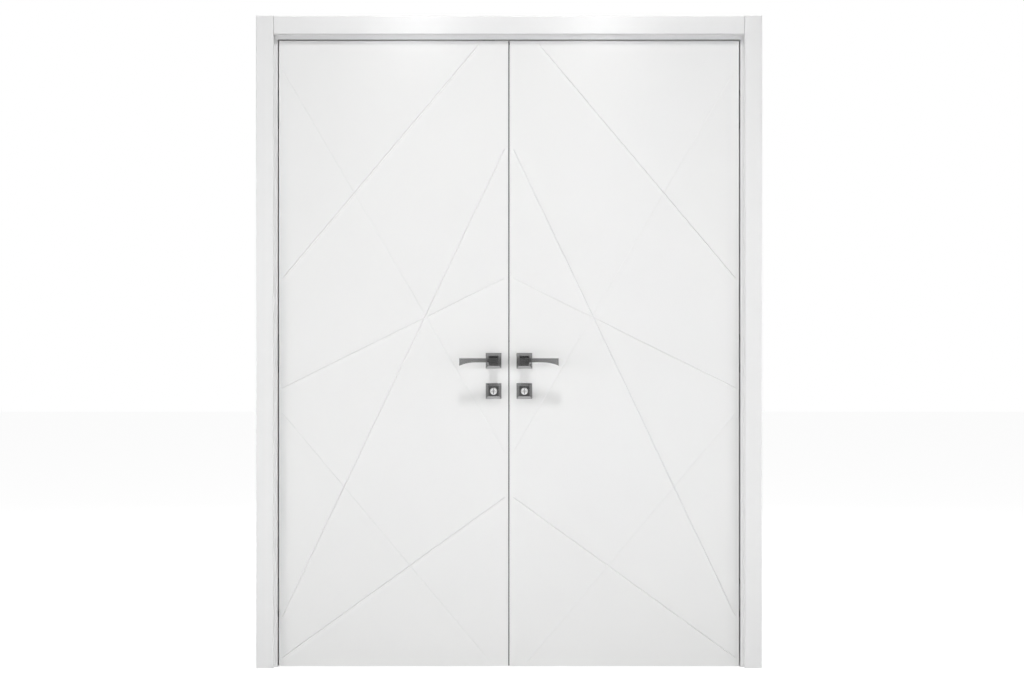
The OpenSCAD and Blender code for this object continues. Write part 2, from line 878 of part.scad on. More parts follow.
// Sheet case behind a face plate, open towards it, with bearings for the hub and the crank
module lock_case() {
    difference() {
        translate([leaf_x0 + forend_t, case_y0, case_z0])
            cube([case_l, case_t, case_z1 - case_z0]);
        translate([leaf_x0 + forend_t - cut, leaf_mid - case_in, case_z0 + case_wall])
            cube([case_l + cut - case_wall, 2 * case_in, case_z1 - case_z0 - 2 * case_wall]);
        translate([axis_x, 0, lever_z])
            round_y(hub_r + running_fit, case_y0 - cut, case_y1 + cut);
        translate([axis_x, 0, turn_z])
            round_y(crank_boss_r + running_fit, case_y0 - cut, case_y1 + cut);
    }
}

module right_lock_case() steel() right() lock_case();

module left_bolt_case() {
    steel()
        left()
            difference() {
                lock_case();
                translate([axis_x + rod_off, leaf_mid, case_z1 - case_wall - cut])
                    cylinder(r = rod_r + rod_fit, h = case_wall + 2 * cut);
                translate([axis_x - rod_off, leaf_mid, case_z0 - cut])
                    cylinder(r = rod_r + rod_fit, h = case_wall + 2 * cut);
            }
}

// Crank on the turn's spindle: a boss through the case, a disc and pins at the given angles
module crank(pin_r, angles) {
    steel()
        translate([axis_x, 0, turn_z])
            difference() {
                union() {
                    round_y(crank_boss_r, case_y0, case_y1);
                    round_y(crank_r, crank_y, crank_y + crank_t);
                    for (angle = angles)
                        translate([pin_r * cos(angle), 0, pin_r * sin(angle)])
                            round_y(crank_pin_r, fork_y, crank_y + cut);
                }
                square_y(turn_spindle_w + 2 * running_fit, case_y0 - cut, case_y1 + cut);
            }
}

// The dead bolt's pin starts behind and below the axis, the rods' pins start on both sides of it
module right_bolt_crank() right() crank(bolt_crank, [-45]);
module left_rod_crank() left() crank(rod_crank, [-45, 135]);

module right_latch() {
    nose = latch_t / 4;
    half = latch_t / 2;
    steel()
        right()
            translate([leaf_x0 + bolt_set, leaf_mid, latch_z - latch_h / 2])
                linear_extrude(latch_h)
                    polygon([[0, -half + nose], [nose, -half], [latch_l, -half],
                        [latch_l, half], [nose, half], [0, half - nose]]);
}

// Dead bolt with a thick head and a thin tail, whose upright fork takes the crank pin
module right_dead_bolt() {
    tail_l = backset + bolt_throw;
    tail_top = turn_z - fork_in;
    pin_u = backset + bolt_throw / 2;
    pin_low = turn_z - bolt_crank - fork_half;
    steel()
        right()
            translate([leaf_x0, 0, 0])
                difference() {
                    union() {
                        translate([bolt_set, leaf_mid - bolt_t / 2, bolt_z - bolt_h / 2])
                            cube([bolt_head_l, bolt_t, bolt_h]);
                        translate([bolt_set + cut, fork_y, bolt_z - bolt_h / 2])
                            cube([tail_l, fork_t, tail_top - bolt_z + bolt_h / 2]);
                    }
                    translate([pin_u - fork_half, fork_y - cut, pin_low])
                        cube([2 * fork_half, fork_t + 2 * cut, bolt_h]);
                }
}

// Rod with a fork for its crank pin; it is drawn upwards from the turn axis with the fork beside it
module rod(side, up, reach) {
    pin_z = -rod_crank * sin(45);
    fork_w = fork_out + 3 * rod_fit;
    fork_z = pin_z - fork_half - fork_lip;
    steel()
        translate([axis_x, 0, turn_z])
            mirror([side < 0 ? 1 : 0, 0, 0])
                mirror([0, 0, up < 0 ? 1 : 0]) {
                    difference() {
                        translate([fork_in, fork_y, fork_z])
                            cube([rod_off + rod_r - fork_in, fork_t, rod_start + fork_lip - fork_z]);
                        translate([fork_in - cut, fork_y - cut, pin_z - fork_half])
                            cube([fork_w - fork_in + cut, fork_t + 2 * cut, 2 * fork_half]);
                    }
                    translate([rod_off, leaf_mid, rod_start])
                        cylinder(r = rod_r, h = reach - rod_start);
                }
}

module left_top_rod() left() rod(1, 1, leaf_z1 - turn_z - bolt_set);
module left_bottom_rod() left() rod(-1, -1, turn_z - floor_gap - bolt_set);

// Plates in the left leaf's top and bottom edges that guide the rods
module left_rod_guides() {
    steel()
        left() {
            translate([axis_x + rod_off, leaf_mid, leaf_z1 - guide_t])
                rod_plate();
            translate([axis_x - rod_off, leaf_mid, floor_gap])
                rod_plate();
        }
}

left_jamb();
right_jamb();
head_jamb();
left_stop();
right_stop();
head_stop();
left_seal();
right_seal();
head_seal();
front_left_casing();
front_right_casing();
front_head_casing();
back_left_casing();
back_right_casing();
back_head_casing();
head_keep();
left_frame_cups();
right_frame_cups();
left_frame_pins();
right_frame_pins();
left_frame_links();
right_frame_links();
left_leaf_links();
right_leaf_links();
left_leaf();
left_leaf_cups();
left_leaf_pins();
left_lever_roses();
left_turn_roses();
left_bolt_case();
left_strike_plate();
left_rod_guides();
meeting_seal();
right_leaf();
right_leaf_cups();
right_leaf_pins();
right_lever_roses();
right_turn_roses();
right_lock_case();
right_face_plate();
left_front_lever();
left_back_lever();
left_lever_spindle();
left_lever_hub();
right_front_lever();
right_back_lever();
right_lever_spindle();
right_lever_hub();
left_thumb_turn();
left_release();
left_rod_crank();
right_thumb_turn();
right_release();
right_bolt_crank();
right_latch();
right_dead_bolt();
left_top_rod();
left_bottom_rod();
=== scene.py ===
# %% [markdown]
# # A white double door, dressed for its picture
#
# The object is a pair of flush painted leaves in a painted frame, with levers, thumb turns, a lock,
# bolts and concealed hinges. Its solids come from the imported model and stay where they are. This
# lesson gives each of them its finish, models the handles and the screws by hand, and then builds a
# plain studio around the doors. Everything is in metres, with X to the right, Y away from the viewer
# and Z up.

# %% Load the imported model
import json
import math

import bpy
from mathutils import Matrix, Vector


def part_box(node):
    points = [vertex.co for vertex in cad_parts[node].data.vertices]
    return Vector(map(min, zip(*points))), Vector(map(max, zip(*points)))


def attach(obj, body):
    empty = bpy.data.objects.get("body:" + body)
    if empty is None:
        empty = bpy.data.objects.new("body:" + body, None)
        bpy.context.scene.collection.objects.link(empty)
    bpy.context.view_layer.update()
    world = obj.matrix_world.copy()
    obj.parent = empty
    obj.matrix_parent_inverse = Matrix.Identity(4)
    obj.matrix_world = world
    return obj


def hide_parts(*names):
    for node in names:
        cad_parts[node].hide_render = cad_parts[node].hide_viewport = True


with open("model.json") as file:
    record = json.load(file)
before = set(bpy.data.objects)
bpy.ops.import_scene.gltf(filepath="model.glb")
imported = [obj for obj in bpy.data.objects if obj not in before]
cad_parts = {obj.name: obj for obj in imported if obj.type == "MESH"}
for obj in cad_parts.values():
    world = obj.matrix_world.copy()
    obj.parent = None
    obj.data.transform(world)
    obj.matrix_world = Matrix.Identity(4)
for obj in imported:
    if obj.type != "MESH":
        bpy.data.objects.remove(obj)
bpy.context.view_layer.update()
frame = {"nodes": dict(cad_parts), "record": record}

# %% [markdown]
# The picture looks square on at the doors from about their middle height, and the uprights stay
# parallel. A level camera with a long lens, several metres away, does that without any lens shift.
# The lens follows from the width that the picture shows at the face of the leaves.

# %% Camera
FACE_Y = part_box("right_leaf")[0].y
EYE_X = 0.00975
EYE_Z = 1.0585
EYE_DISTANCE = 5.5
WIDTH_IN_VIEW = 3.328
SENSOR = 36.0

eye = Vector((EYE_X, FACE_Y - EYE_DISTANCE, EYE_Z))
bpy.ops.object.camera_add(location=eye, rotation=(math.radians(90), 0, 0))
camera = bpy.context.active_object
camera.data.sensor_width = SENSOR
camera.data.lens = SENSOR * EYE_DISTANCE / WIDTH_IN_VIEW
bpy.context.scene.camera = camera
print("lens:", round(camera.data.lens, 1), "mm")

# %% [markdown]
# Every finish here is made of shader nodes, and most of what they do is arithmetic on noise. Wiring
# Math nodes one at a time hides the sum behind the wires, so a small class wraps a socket and gives
# it Python's operators: `0.4 + 0.1 * grain` then adds the two Math nodes by itself. All other nodes
# come from one method, which takes the node's type, its settings and what goes into its sockets.


# %% Sums on sockets
def feed(tree, socket, value):
    """Puts a number, a colour or a wire into a socket."""
    if isinstance(value, Wire):
        tree.links.new(value.socket, socket)
    else:
        socket.default_value = value


class Wire:
    """The output of a node, with operators that add Math nodes."""

    def __init__(self, tree, socket):
        self.tree = tree
        self.socket = socket

    def reckon(self, operation, *values):
        step = self.tree.nodes.new("ShaderNodeMath")
        step.operation = operation
        for socket, value in zip(step.inputs, values):
            feed(self.tree, socket, value)
        return Wire(self.tree, step.outputs[0])

    def __add__(self, other):
        return self.reckon("ADD", self, other)

    __radd__ = __add__

    def __sub__(self, other):
        return self.reckon("SUBTRACT", self, other)

    def __rsub__(self, other):
        return self.reckon("SUBTRACT", other, self)

    def __mul__(self, other):
        return self.reckon("MULTIPLY", self, other)

    __rmul__ = __mul__

    def __abs__(self):
        return self.reckon("ABSOLUTE", self)

    def __pow__(self, power):
        return self.reckon("POWER", self, power)

    def sine(self):
        return self.reckon("SINE", self)

    def at_most_one(self):
        return self.reckon("MINIMUM", self, 1.0)


print("a wire can be added, taken away, multiplied and raised")

# %% [markdown]
# Two more classes hold the nodes together. One adds any node to a tree, for the sky as well as for
# materials. The other is a material that starts from Object coordinates, so a pattern is fixed to its
# piece and turns with it when a leaf swings open. It also has the three things that most finishes
# need: noise, a mix of two colours, and a bump.


# %% Finishes
class Wiring:
    """A node tree to which nodes are added by type."""

    def __init__(self, tree):
        self.tree = tree

    def node(self, kind, settings=None, sockets=None, out=0):
        added = self.tree.nodes.new(kind)
        for name, value in (settings or {}).items():
            if name == "stops":
                self.set_stops(added.color_ramp.elements, value)
            else:
                setattr(added, name, value)
        for name, value in (sockets or {}).items():
            feed(self.tree, added.inputs[name], value)
        return Wire(self.tree, added.outputs[out])

    def set_stops(self, elements, stops):
        while len(elements) < len(stops):
            elements.new(0.5)
        for element, (place, level) in zip(elements, stops):
            element.position = place
            element.color = (level, level, level, 1.0)

    def axes(self, vector):
        return [self.node("ShaderNodeSeparateXYZ", sockets={"Vector": vector}, out=i) for i in range(3)]


class Finish(Wiring):
    """A material that reads Object coordinates, so its pattern stays on the piece."""

    def __init__(self, name):
        self.material = bpy.data.materials.new(name)
        self.material.use_nodes = True
        super().__init__(self.material.node_tree)
        self.shader = self.tree.nodes["Principled BSDF"]
        self.place = self.node("ShaderNodeTexCoord", out="Object")

    def noise(self, scale, detail=2.0, stretch=None):
        place = self.place
        if stretch:
            place = self.node("ShaderNodeMapping", sockets={"Vector": place, "Scale": stretch})
        sockets = {"Vector": place, "Scale": scale, "Detail": detail}
        return self.node("ShaderNodeTexNoise", sockets=sockets)

    def between(self, share, first, second):
        sockets = {"Factor": share, 6: (*first, 1.0), 7: (*second, 1.0)}
        return self.node("ShaderNodeMix", {"data_type": "RGBA"}, sockets, out=2)

    def bump(self, height, depth, strength):
        sockets = {"Height": height, "Distance": depth, "Strength": strength}
        return self.node("ShaderNodeBump", sockets=sockets)

    def set(self, **sockets):
        for name, value in sockets.items():
            feed(self.tree, self.shader.inputs[name.replace("_", " ")], value)
        return self.material


def darker(colour, share):
    return [share * level for level in colour]


print("finishes are ready to be mixed")

# %% [markdown]
# The leaves are fibreboard with a sprayed silk paint, and the frame has the same paint rolled on.
# A sprayed coat is never quite flat: it has a fine orange peel of about two millimetres, a slower
# swell from the board and the sanding below it, and a sheen that drifts a little. Each of these is a
# noise of its own scale. The colour hardly moves, because a new white door shows almost no stain.


# %% Paint
def silk_paint(name, white, shade, roughness, peel_scale, stroke):
    paint = Finish(name)
    drift = paint.noise(2.5, 3.0)
    sheen = paint.noise(11.0, 4.0)
    peel = paint.noise(peel_scale, 2.0)
    swell = paint.noise(38.0, 1.0)
    strokes = paint.noise(60.0, 2.0, stretch=stroke)
    height = 0.62 * peel + 0.25 * swell + 0.13 * strokes
    return paint.set(
        Base_Color=paint.between(drift, white, shade),
        Roughness=roughness + 0.10 * (sheen - 0.5) + 0.05 * (strokes - 0.5),
        Normal=paint.bump(height, depth=0.00006, strength=0.5),
    )


leaf_paint = silk_paint(
    "leaf_silk_paint",
    white=(0.865, 0.865, 0.860),
    shade=(0.835, 0.836, 0.834),
    roughness=0.40,
    peel_scale=520.0,
    stroke=(9.0, 9.0, 1.0),
)
frame_paint = silk_paint(
    "frame_silk_paint",
    white=(0.880, 0.880, 0.880),
    shade=(0.852, 0.853, 0.854),
    roughness=0.34,
    peel_scale=380.0,
    stroke=(14.0, 14.0, 0.6),
)
print("paints:", leaf_paint.name, frame_paint.name)

# %% [markdown]
# The handles are plated in a dark nickel. The roses are polished, so they mostly show what stands in
# front of them, and they get only a faint haze and hairline scratches. The levers are brushed along
# their length, which is a noise stretched far along X. The knobs are turned on a lathe, so their
# lines run in rings around the axis.


# %% Plated metals
def polished_nickel(name, colour, roughness):
    metal = Finish(name)
    haze = metal.noise(90.0, 3.0)
    hairline = metal.noise(700.0, 2.0, stretch=(1.0, 0.35, 0.06))
    return metal.set(
        Base_Color=metal.between(haze, colour, darker(colour, 0.90)),
        Metallic=1.0,
        Roughness=roughness + 0.05 * (haze - 0.5) + 0.05 * (hairline - 0.5),
        Normal=metal.bump(hairline, depth=0.000004, strength=0.25),
    )


def brushed_metal(name, colour, roughness, stretch):
    metal = Finish(name)
    lines = metal.noise(900.0, 3.0, stretch=stretch)
    cloud = metal.noise(40.0, 2.0)
    return metal.set(
        Base_Color=metal.between(lines, colour, darker(colour, 0.86)),
        Metallic=1.0,
        Roughness=roughness + 0.16 * (lines - 0.5) + 0.06 * (cloud - 0.5),
        Normal=metal.bump(lines, depth=0.00001, strength=0.3),
    )


def turned_metal(name, colour, roughness, axis, ring_width):
    """Rings around the axis of a turn, on the right leaf and on the left one alike."""
    metal = Finish(name)
    x, _, z = metal.axes(metal.place)
    radius = ((abs(x) - axis.x) ** 2.0 + abs(z - axis.z) ** 2.0) ** 0.5
    rings = (radius * (2 * math.pi / ring_width)).sine()
    haze = metal.noise(120.0, 2.0)
    return metal.set(
        Base_Color=metal.between(haze, colour, darker(colour, 0.93)),
        Metallic=1.0,
        Roughness=roughness + 0.03 * rings + 0.05 * (haze - 0.5),
        Normal=metal.bump(rings, depth=0.000003, strength=0.2),
    )


def middle(node):
    low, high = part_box(node)
    return (low + high) / 2


LEVER_AXIS = middle("right_lever_roses")
TURN_AXIS = middle("right_turn_roses")
ALONG_X = (0.02, 1.0, 1.0)
rose_nickel = polished_nickel("rose_nickel", colour=(0.40, 0.40, 0.40), roughness=0.16)
lever_nickel = brushed_metal("lever_nickel", colour=(0.46, 0.46, 0.46), roughness=0.20, stretch=ALONG_X)
knob_nickel = turned_metal(
    "knob_nickel", colour=(0.95, 0.95, 0.95), roughness=0.20, axis=TURN_AXIS, ring_width=0.0007
)
print("handle metals:", rose_nickel.name, lever_nickel.name, knob_nickel.name)

# %% [markdown]
# Behind the handles sit plainer metals. The hinge cups are satin zinc castings with a fine cast
# grain. Plates, cases, bolts, rods and links are bright steel, brushed upright. The screws have a
# thin zinc coat, with a drift in the sheen. The seals are soft black rubber, which is matt and dusty.


# %% Working metals and rubber
def cast_zinc(name, colour):
    metal = Finish(name)
    grain = metal.noise(1500.0, 2.0)
    cloud = metal.noise(55.0, 3.0)
    return metal.set(
        Base_Color=metal.between(cloud, colour, darker(colour, 0.88)),
        Metallic=1.0,
        Roughness=0.40 + 0.12 * (grain - 0.5) + 0.10 * (cloud - 0.5),
        Normal=metal.bump(grain, depth=0.00002, strength=0.35),
    )


def soft_rubber(name, colour):
    rubber = Finish(name)
    dust = rubber.noise(160.0, 4.0)
    grain = rubber.noise(2200.0, 1.0)
    dusty = [1.18 * level for level in colour]
    return rubber.set(
        Base_Color=rubber.between(dust, colour, dusty),
        Roughness=0.72 + 0.14 * (dust - 0.5),
        Normal=rubber.bump(grain, depth=0.00003, strength=0.4),
    )


ALONG_Z = (1.0, 1.0, 0.02)
hinge_zinc = cast_zinc("hinge_zinc", colour=(0.62, 0.62, 0.63))
lock_steel = brushed_metal("lock_steel", colour=(0.60, 0.60, 0.61), roughness=0.32, stretch=ALONG_Z)
screw_steel = cast_zinc("screw_steel", colour=(0.56, 0.56, 0.58))
seal_rubber = soft_rubber("seal_rubber", colour=(0.05, 0.05, 0.05))
print("working finishes:", hinge_zinc.name, lock_steel.name, screw_steel.name, seal_rubber.name)

# %% [markdown]
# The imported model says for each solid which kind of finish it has. That could be given by hand, one
# solid at a time, but a table from kind to finish is shorter, and it can't miss one.

# %% Finishes on the solids
slot_finish = {
    "leaf_paint": leaf_paint,
    "frame_paint": frame_paint,
    "nickel": rose_nickel,
    "hinge_zinc": hinge_zinc,
    "lock_steel": lock_steel,
    "seal_rubber": seal_rubber,
}
for part in frame["record"]["subparts"]:
    frame["nodes"][part["node"]].material_slots[0].material = slot_finish[part["material_slot"]]

# %% [markdown]
# The handle pieces are modelled by hand, as one would at the screen: add a primitive at its size and
# place, pick faces or edges, and extrude, resize or bevel them. Without a window nothing can be
# clicked, so a helper picks vertices, edges or faces by a test on their place. Loading the model
# leaves its solids selected, so each new piece starts by deselecting everything.


# %% Tools for starting a piece
def ready():
    if bpy.context.object and bpy.context.object.mode != "OBJECT":
        bpy.ops.object.mode_set(mode="OBJECT")
    bpy.ops.object.select_all(action="DESELECT")


def settle(name):
    """Ends a primitive's start: its place and size go into its mesh, and it gets its name."""
    bpy.ops.object.transform_apply(location=True, rotation=True, scale=True)
    piece = bpy.context.active_object
    piece.name = name
    piece.data.name = name
    return piece


def block(name, low, high):
    ready()
    low, high = Vector(low), Vector(high)
    bpy.ops.mesh.primitive_cube_add(size=1, location=(low + high) / 2, scale=high - low)
    return settle(name)


def drum(name, radius, start, end, sides=64):
    """A cylinder from one point to another."""
    ready()
    start, end = Vector(start), Vector(end)
    turn = (end - start).to_track_quat("Z", "Y").to_euler()
    bpy.ops.mesh.primitive_cylinder_add(
        vertices=sides,
        radius=radius,
        depth=(end - start).length,
        location=(start + end) / 2,
        rotation=turn,
    )
    return settle(name)


print("pieces start as a block or a drum")

# %% [markdown]
# Once a piece has its first shape, these tools work on it in edit mode or with a modifier. Each does
# what one menu entry does: select by place, extrude, bisect, ease the edges, cut a shape away. A
# place counts as the same when it is within a hair, since a mesh keeps its numbers in single
# precision.

# %% Tools for shaping a piece
HAIR = 0.00002


def near(a, b):
    return abs(a - b) < HAIR


def pick(piece, kind, test):
    """Goes into edit mode with only the vertices, edges or faces that pass the test selected."""
    bpy.context.view_layer.objects.active = piece
    bpy.ops.object.mode_set(mode="EDIT")
    bpy.ops.mesh.select_mode(type=kind)
    bpy.ops.mesh.select_all(action="DESELECT")
    bpy.ops.object.mode_set(mode="OBJECT")
    mesh = piece.data
    if kind == "VERT":
        for vertex in mesh.vertices:
            vertex.select = test(vertex.co)
    elif kind == "EDGE":
        for edge in mesh.edges:
            a, b = (mesh.vertices[i].co for i in edge.vertices)
            edge.select = test(a, b)
    else:
        for face in mesh.polygons:
            face.select = test(face.center, face.normal)
    bpy.ops.object.mode_set(mode="EDIT")


def push(x=0.0, y=0.0, z=0.0):
    bpy.ops.mesh.extrude_region_move(TRANSFORM_OT_translate={"value": (x, y, z)})


def cut_across(piece, place, normal):
    pick(piece, "VERT", lambda co: True)
    bpy.ops.mesh.bisect(plane_co=place, plane_no=normal)
    bpy.ops.object.mode_set(mode="OBJECT")


def apply_modifier(piece, kind, **settings):
    bpy.context.view_layer.objects.active = piece
    modifier = piece.modifiers.new(kind.lower(), kind)
    for name, value in settings.items():
        setattr(modifier, name, value)
    bpy.ops.object.modifier_apply(modifier=modifier.name)


def ease_edges(piece, width, segments=3, angle=35):
    ready()
    limit = math.radians(angle)
    apply_modifier(piece, "BEVEL", width=width, segments=segments, limit_method="ANGLE", angle_limit=limit)


def carve(piece, cutter):
    apply_modifier(piece, "BOOLEAN", operation="DIFFERENCE", solver="EXACT", object=cutter)
    bpy.data.objects.remove(cutter)


print("places count as the same within", HAIR)

# %% [markdown]
# A finished piece is joined, copied and dressed. The doors are symmetric twice over, so only the
# pieces on the front of the right leaf are modelled, and mirror images make the rest. A mirrored mesh
# is inside out, so its faces are turned round again. Dressing smooths the shading, gives the finish
# and lets the piece ride the body it moves with. Weighted normals keep flat faces flat beside the
# eased edges.


# %% Tools for finishing a piece
def join(name, *pieces):
    ready()
    for piece in pieces:
        piece.select_set(True)
    bpy.context.view_layer.objects.active = pieces[0]
    if len(pieces) > 1:
        bpy.ops.object.join()
    whole = bpy.context.active_object
    whole.name = name
    whole.data.name = name
    return whole


def copy_of(piece, name, place):
    """A copy with its own mesh; a mirror image has its faces turned round again."""
    twin = piece.copy()
    twin.data = piece.data.copy()
    twin.name = name
    twin.data.name = name
    bpy.context.scene.collection.objects.link(twin)
    twin.data.transform(place)
    if place.determinant() < 0:
        twin.data.flip_normals()
    return twin


def dress(piece, finish, body, slot, *nodes, smooth=35):
    ready()
    piece.select_set(True)
    bpy.context.view_layer.objects.active = piece
    bpy.ops.object.shade_smooth_by_angle(angle=math.radians(smooth))
    apply_modifier(piece, "WEIGHTED_NORMAL", keep_sharp=True)
    piece.data.materials.clear()
    piece.data.materials.append(finish)
    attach(piece, body)
    if nodes:
        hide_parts(*nodes)


LEAF_MID_Y = middle("right_leaf").y
TO_LEFT = Matrix.Scale(-1, 4, (1, 0, 0))
TO_BACK = Matrix.Translation((0, 2 * LEAF_MID_Y, 0)) @ Matrix.Scale(-1, 4, (0, 1, 0))
print("middle of the leaf at", round(LEAF_MID_Y, 4))

# %% [markdown]
# A lever is a square neck that stands off the door, turns sharply and runs out as a thin bar whose
# underside sweeps down into a flared tip. It could be one bent curve with a profile, but the profile
# changes along it, so it is extruded: a block for the neck, a bar pushed out of its side in steps,
# and each step's lower edge moved down to draw the sweep.

# %% Lever, neck and bar
lever_low, lever_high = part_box("right_front_lever")
PLAY = 0.0004
NECK_W = 0.028
NECK_BACK_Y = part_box("right_lever_roses")[0].y - PLAY
BAR_T = 0.010
BAR_TOP = LEVER_AXIS.z + 0.0085
BAR_LOW = LEVER_AXIS.z - 0.0045
BEND_R = 0.012
LEAN_START = BEND_R + 0.0005
FLARE_L = 0.053
FLARE_DROP = 0.011
FLARE_STEPS = 10

neck_x = lever_low.x + NECK_W
flare_x = lever_high.x - FLARE_L
flare_r = (FLARE_L**2 + FLARE_DROP**2) / (2 * FLARE_DROP)
bar_back = lever_low.y + BAR_T
step_x = [flare_x + FLARE_L * step / FLARE_STEPS for step in range(FLARE_STEPS + 1)]


def flare_drop(x):
    """How far the underside has swept down at x."""
    return flare_r - math.sqrt(flare_r**2 - (x - flare_x) ** 2)


lever = block("lever", lever_low, (neck_x, NECK_BACK_Y, BAR_TOP))
cut_across(lever, (0, bar_back, 0), (0, 1, 0))
cut_across(lever, (0, 0, BAR_LOW), (0, 0, 1))
pick(lever, "FACE", lambda c, n: n.x > 0.9 and c.y < bar_back and c.z > BAR_LOW)
push(x=LEAN_START)
push(x=flare_x - neck_x - LEAN_START)
for _ in range(FLARE_STEPS):
    push(x=FLARE_L / FLARE_STEPS)
for x in step_x[1:]:
    pick(lever, "VERT", lambda co: near(co.x, x) and near(co.z, BAR_LOW))
    bpy.ops.transform.translate(value=(0, 0, -flare_drop(x)))
print("lever reaches", round(lever_high.x - LEVER_AXIS.x, 3), "from its axis")

# %% [markdown]
# The bar's front leans back a little towards its top, which is what makes it catch more light than
# the square neck, so its upper front edge is moved back, and further where the bar is taller. Then
# the inner corner behind the neck is rounded by a bevel, every edge is eased, and a collar joins the
# neck to the bore of its rose.

# %% Lever, lean and bend
LEAN = 0.17
LEVER_EASE = 0.0009
LEVER_BORE_R = 0.010
RUNNING_FIT = 0.00005
OVERLAP = 0.001


def lean_back(x, drop):
    pick(lever, "VERT", lambda co: near(co.x, x) and near(co.z, BAR_TOP) and near(co.y, lever_low.y))
    bpy.ops.transform.translate(value=(0, LEAN * (BAR_TOP - BAR_LOW + drop), 0))


def in_the_bend(a, b):
    return all(near(p.x, neck_x) and near(p.y, bar_back) and p.z > BAR_LOW - HAIR for p in (a, b))


def on_axis(axis, y, dx=0.0, dz=0.0):
    return (axis.x + dx, y, axis.z + dz)


lean_back(neck_x + LEAN_START, 0.0)
for x in step_x:
    lean_back(x, flare_drop(x))
pick(lever, "EDGE", in_the_bend)
bpy.ops.mesh.bevel(offset=BEND_R, segments=6, profile=0.5, affect="EDGES")
ease_edges(lever, LEVER_EASE)
collar_start = on_axis(LEVER_AXIS, NECK_BACK_Y - OVERLAP)
collar = drum("collar", LEVER_BORE_R - RUNNING_FIT, collar_start, on_axis(LEVER_AXIS, FACE_Y - OVERLAP))
lever = join("right_front_lever_cast", lever, collar)
print("lever faces:", len(lever.data.polygons))

# %% [markdown]
# Four levers come from this one casting. The lever behind a leaf is a mirror image of the one in
# front, and both ride the same body, because one square spindle turns them together.

# %% Levers in their places
levers = {
    "right_front": lever,
    "right_back": copy_of(lever, "right_back_lever_cast", TO_BACK),
    "left_front": copy_of(lever, "left_front_lever_cast", TO_LEFT),
    "left_back": copy_of(lever, "left_back_lever_cast", TO_LEFT @ TO_BACK),
}
for where, piece in levers.items():
    side = where.split("_")[0]
    dress(piece, lever_nickel, side + "_lever", "nickel", where + "_lever")
print("levers:", sorted(levers))

# %% [markdown]
# A rose is the square plate under a handle: an upright rim, four sloping sides and a raised flat. A
# block is pushed forward once and its new face made smaller, which gives the slopes. The edges are
# then eased, because on polished metal a thin bright line along each edge is most of what is seen.

# %% Roses
ROSE_W = 0.051
ROSE_T = 0.009
ROSE_RIM = 0.004
ROSE_TOP = 0.034
ROSE_EASE = 0.0007
TURN_BORE_R = 0.007
BORE_REACH = 0.02


def rose(name, axis, bore_radius):
    half = ROSE_W / 2
    plate = block(name, on_axis(axis, FACE_Y - ROSE_RIM, -half, -half), on_axis(axis, FACE_Y, half, half))
    pick(plate, "FACE", lambda c, n: n.y < -0.9)
    push(y=ROSE_RIM - ROSE_T)
    share = ROSE_TOP / ROSE_W
    bpy.ops.transform.resize(value=(share, 1, share), center_override=on_axis(axis, FACE_Y - ROSE_T))
    ease_edges(plate, ROSE_EASE, angle=20)
    bore_start = on_axis(axis, FACE_Y - BORE_REACH)
    carve(plate, drum("cutter", bore_radius, bore_start, on_axis(axis, FACE_Y + BORE_REACH)))
    return plate


def rose_pair(kind, axis, bore_radius):
    front = rose(kind + "_rose", axis, bore_radius)
    right = join("right_" + kind + "_rose_pair", front, copy_of(front, "back_rose", TO_BACK))
    left = copy_of(right, "left_" + kind + "_rose_pair", TO_LEFT)
    for side, piece in (("left", left), ("right", right)):
        dress(piece, rose_nickel, side + "_leaf", "nickel", side + "_" + kind + "_roses", smooth=12)


rose_pair("lever", LEVER_AXIS, LEVER_BORE_R)
rose_pair("turn", TURN_AXIS, TURN_BORE_R)
print("roses: one pair on each leaf for the lever and one for the turn")

# %% [markdown]
# A thumb turn is a short domed knob with a low wing for the fingers. The dome is drawn ring by ring:
# the front face of a drum is pushed forward and made smaller again and again, along a circle. A
# sphere could be cut to the same shape, but its rings would not meet the drum's edge.

# %% Thumb turn, knob
KNOB_R = 0.0115
KNOB_RIM = 0.005
KNOB_DOME = 0.004
KNOB_EASE = 0.0005
DOME_RINGS = 7
DOME_SWEEP = 86

knob_back = FACE_Y - ROSE_T - PLAY
rim_y = knob_back - KNOB_RIM
dome_r = (KNOB_R**2 + KNOB_DOME**2) / (2 * KNOB_DOME)

knob = drum("knob", KNOB_R, on_axis(TURN_AXIS, knob_back), on_axis(TURN_AXIS, rim_y))
pick(knob, "FACE", lambda c, n: n.y < -0.9)
ring_r, ring_y = KNOB_R, rim_y
for ring in range(1, DOME_RINGS + 1):
    radius = KNOB_R * math.cos(math.radians(DOME_SWEEP * ring / DOME_RINGS))
    y = rim_y - (math.sqrt(dome_r**2 - radius**2) - (dome_r - KNOB_DOME))
    push(y=y - ring_y)
    share = radius / ring_r
    bpy.ops.transform.resize(value=(share, 1, share), center_override=on_axis(TURN_AXIS, y))
    ring_r, ring_y = radius, y
bpy.ops.object.mode_set(mode="OBJECT")
ease_edges(knob, KNOB_EASE, angle=30)
print("knob faces:", len(knob.data.polygons))

# %% [markdown]
# The wing is a block with eased edges that stands on the dome. Behind the knob a round collar turns
# in the rose, and a square spindle goes on through the leaf to the lock. All four are one piece on
# the real turn, so they are joined, and the left turn is a mirror image.

# %% Thumb turn, wing and spindle
WING_W = 0.004
WING_H = 0.003
WING_EASE = 0.0009
WING_REACH = KNOB_R - 0.0014
SPINDLE_HALF = 0.003

